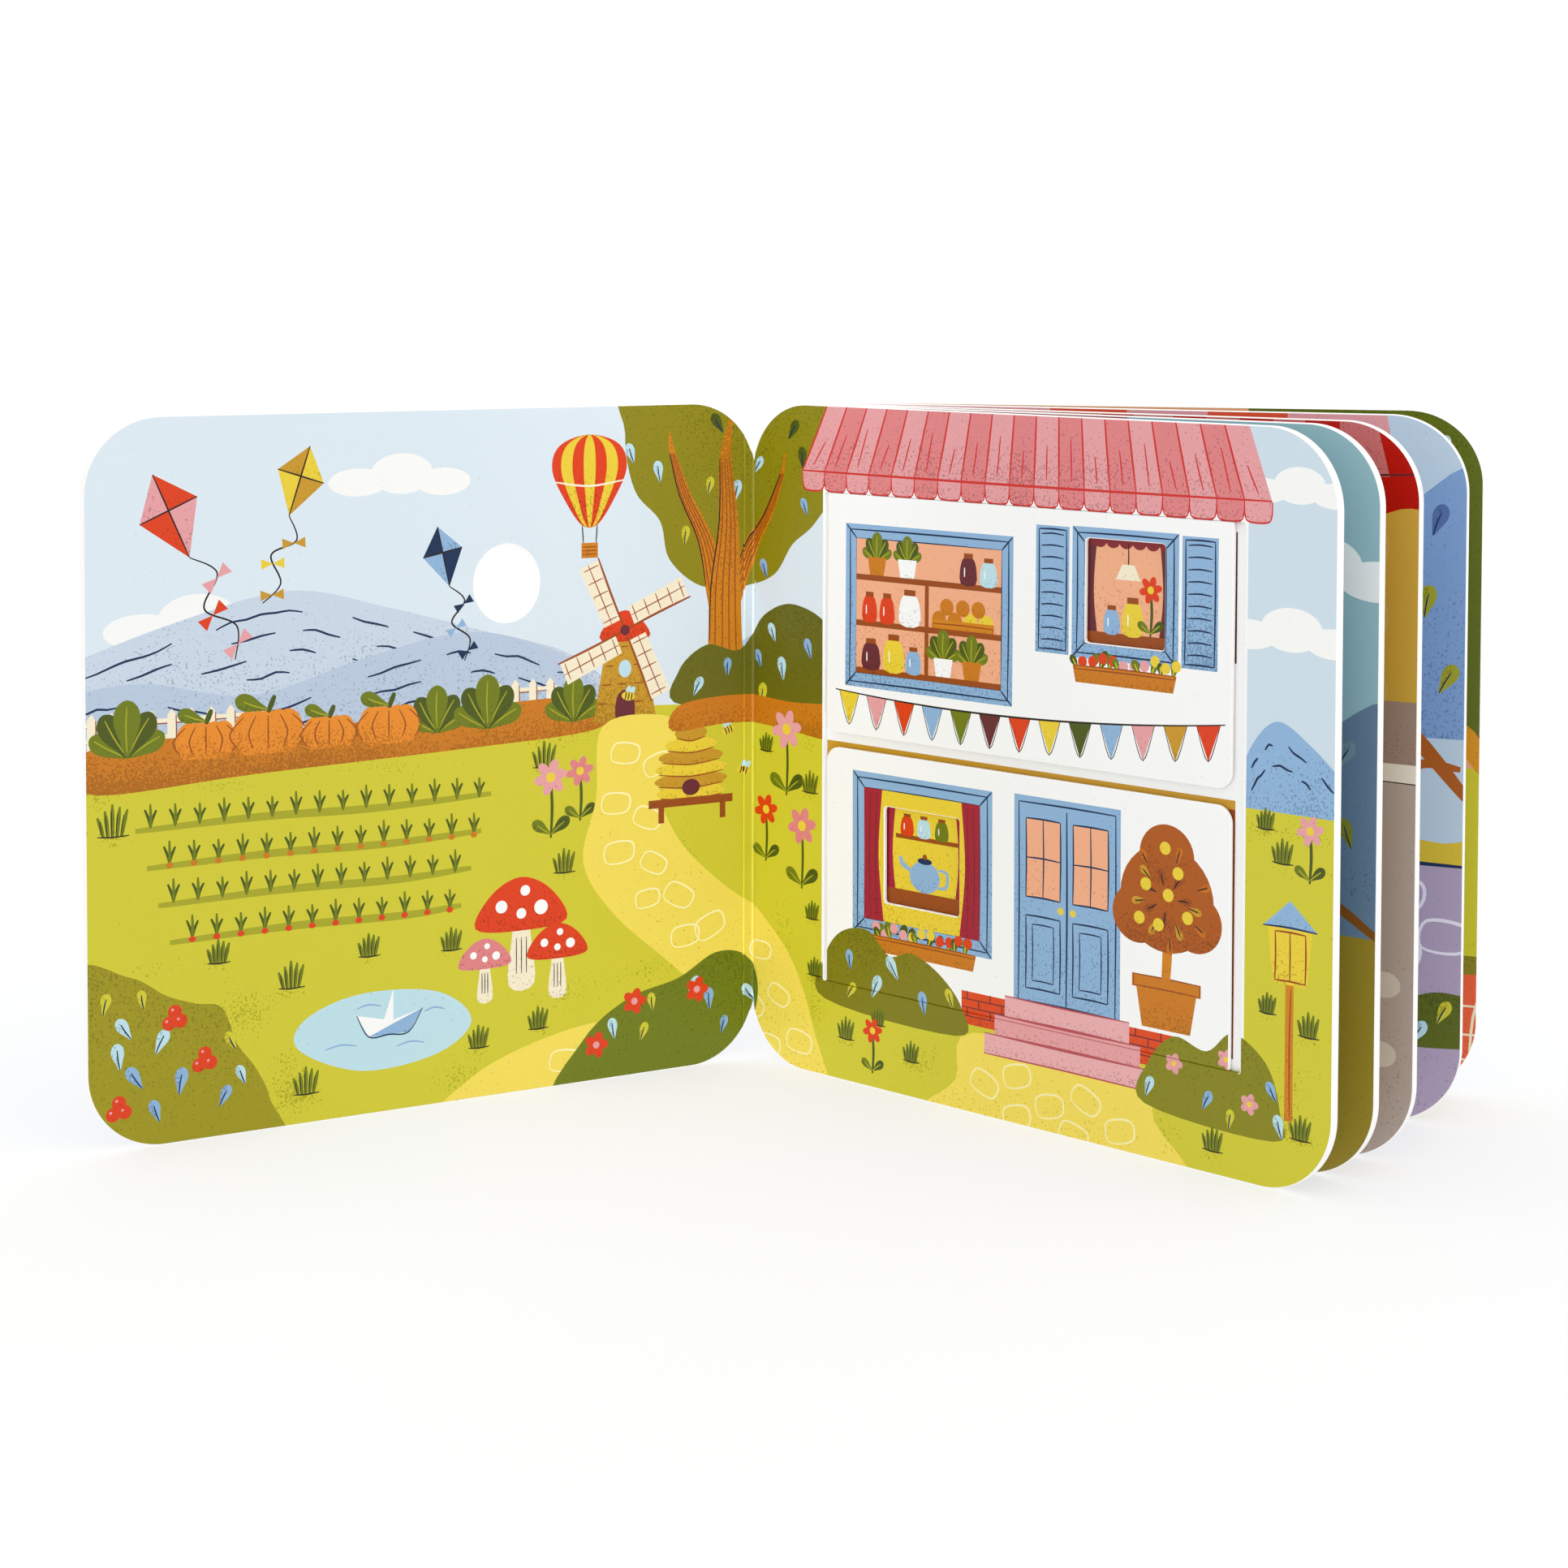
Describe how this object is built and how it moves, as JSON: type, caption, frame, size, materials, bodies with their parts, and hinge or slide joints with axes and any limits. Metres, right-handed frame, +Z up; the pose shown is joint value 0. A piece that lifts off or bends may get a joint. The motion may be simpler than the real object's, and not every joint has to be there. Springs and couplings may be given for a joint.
{
  "type": "board book",
  "caption": "Square children's board book standing open in a V, with rounded corners, fanned board leaves, lift flaps with windows in the first leaf and a round window in the front cover.",
  "frame": {"origin": "middle of the bounding box, on the surface that the book stands on", "axes": "+X runs to the right across the open book, +Y away from the reader, +Z up along the spine"},
  "size_m": [0.3724, 0.1422, 0.19],
  "materials": {
    "page_board": "printed and laminated, white cut edges",
    "front_cover_board": "printed and laminated, white cut edges",
    "spine_card": "printed and laminated cover paper over card",
    "back_cover_board": "printed and laminated, white cut edges"
  },
  "bodies": {
    "pages": {"page_block": "page_board", "spine": "spine_card"},
    "front_cover": {"front_cover": "front_cover_board"},
    "back_cover": {"back_cover": "back_cover_board"}
  },
  "joints": [
    {"name": "front_cover_hinge", "type": "hinge", "parent": "pages", "child": "front_cover", "pos_m": [-0.01506, 0.06146, 0.095], "axis": [0, 0, 1], "range_deg": [-72.5, 107.5]},
    {"name": "back_cover_hinge", "type": "hinge", "parent": "pages", "child": "back_cover", "pos_m": [-0.00402, 0.06866, 0.095], "axis": [0, 0, 1], "range_deg": [-8.3, 150.8]}
  ]
}
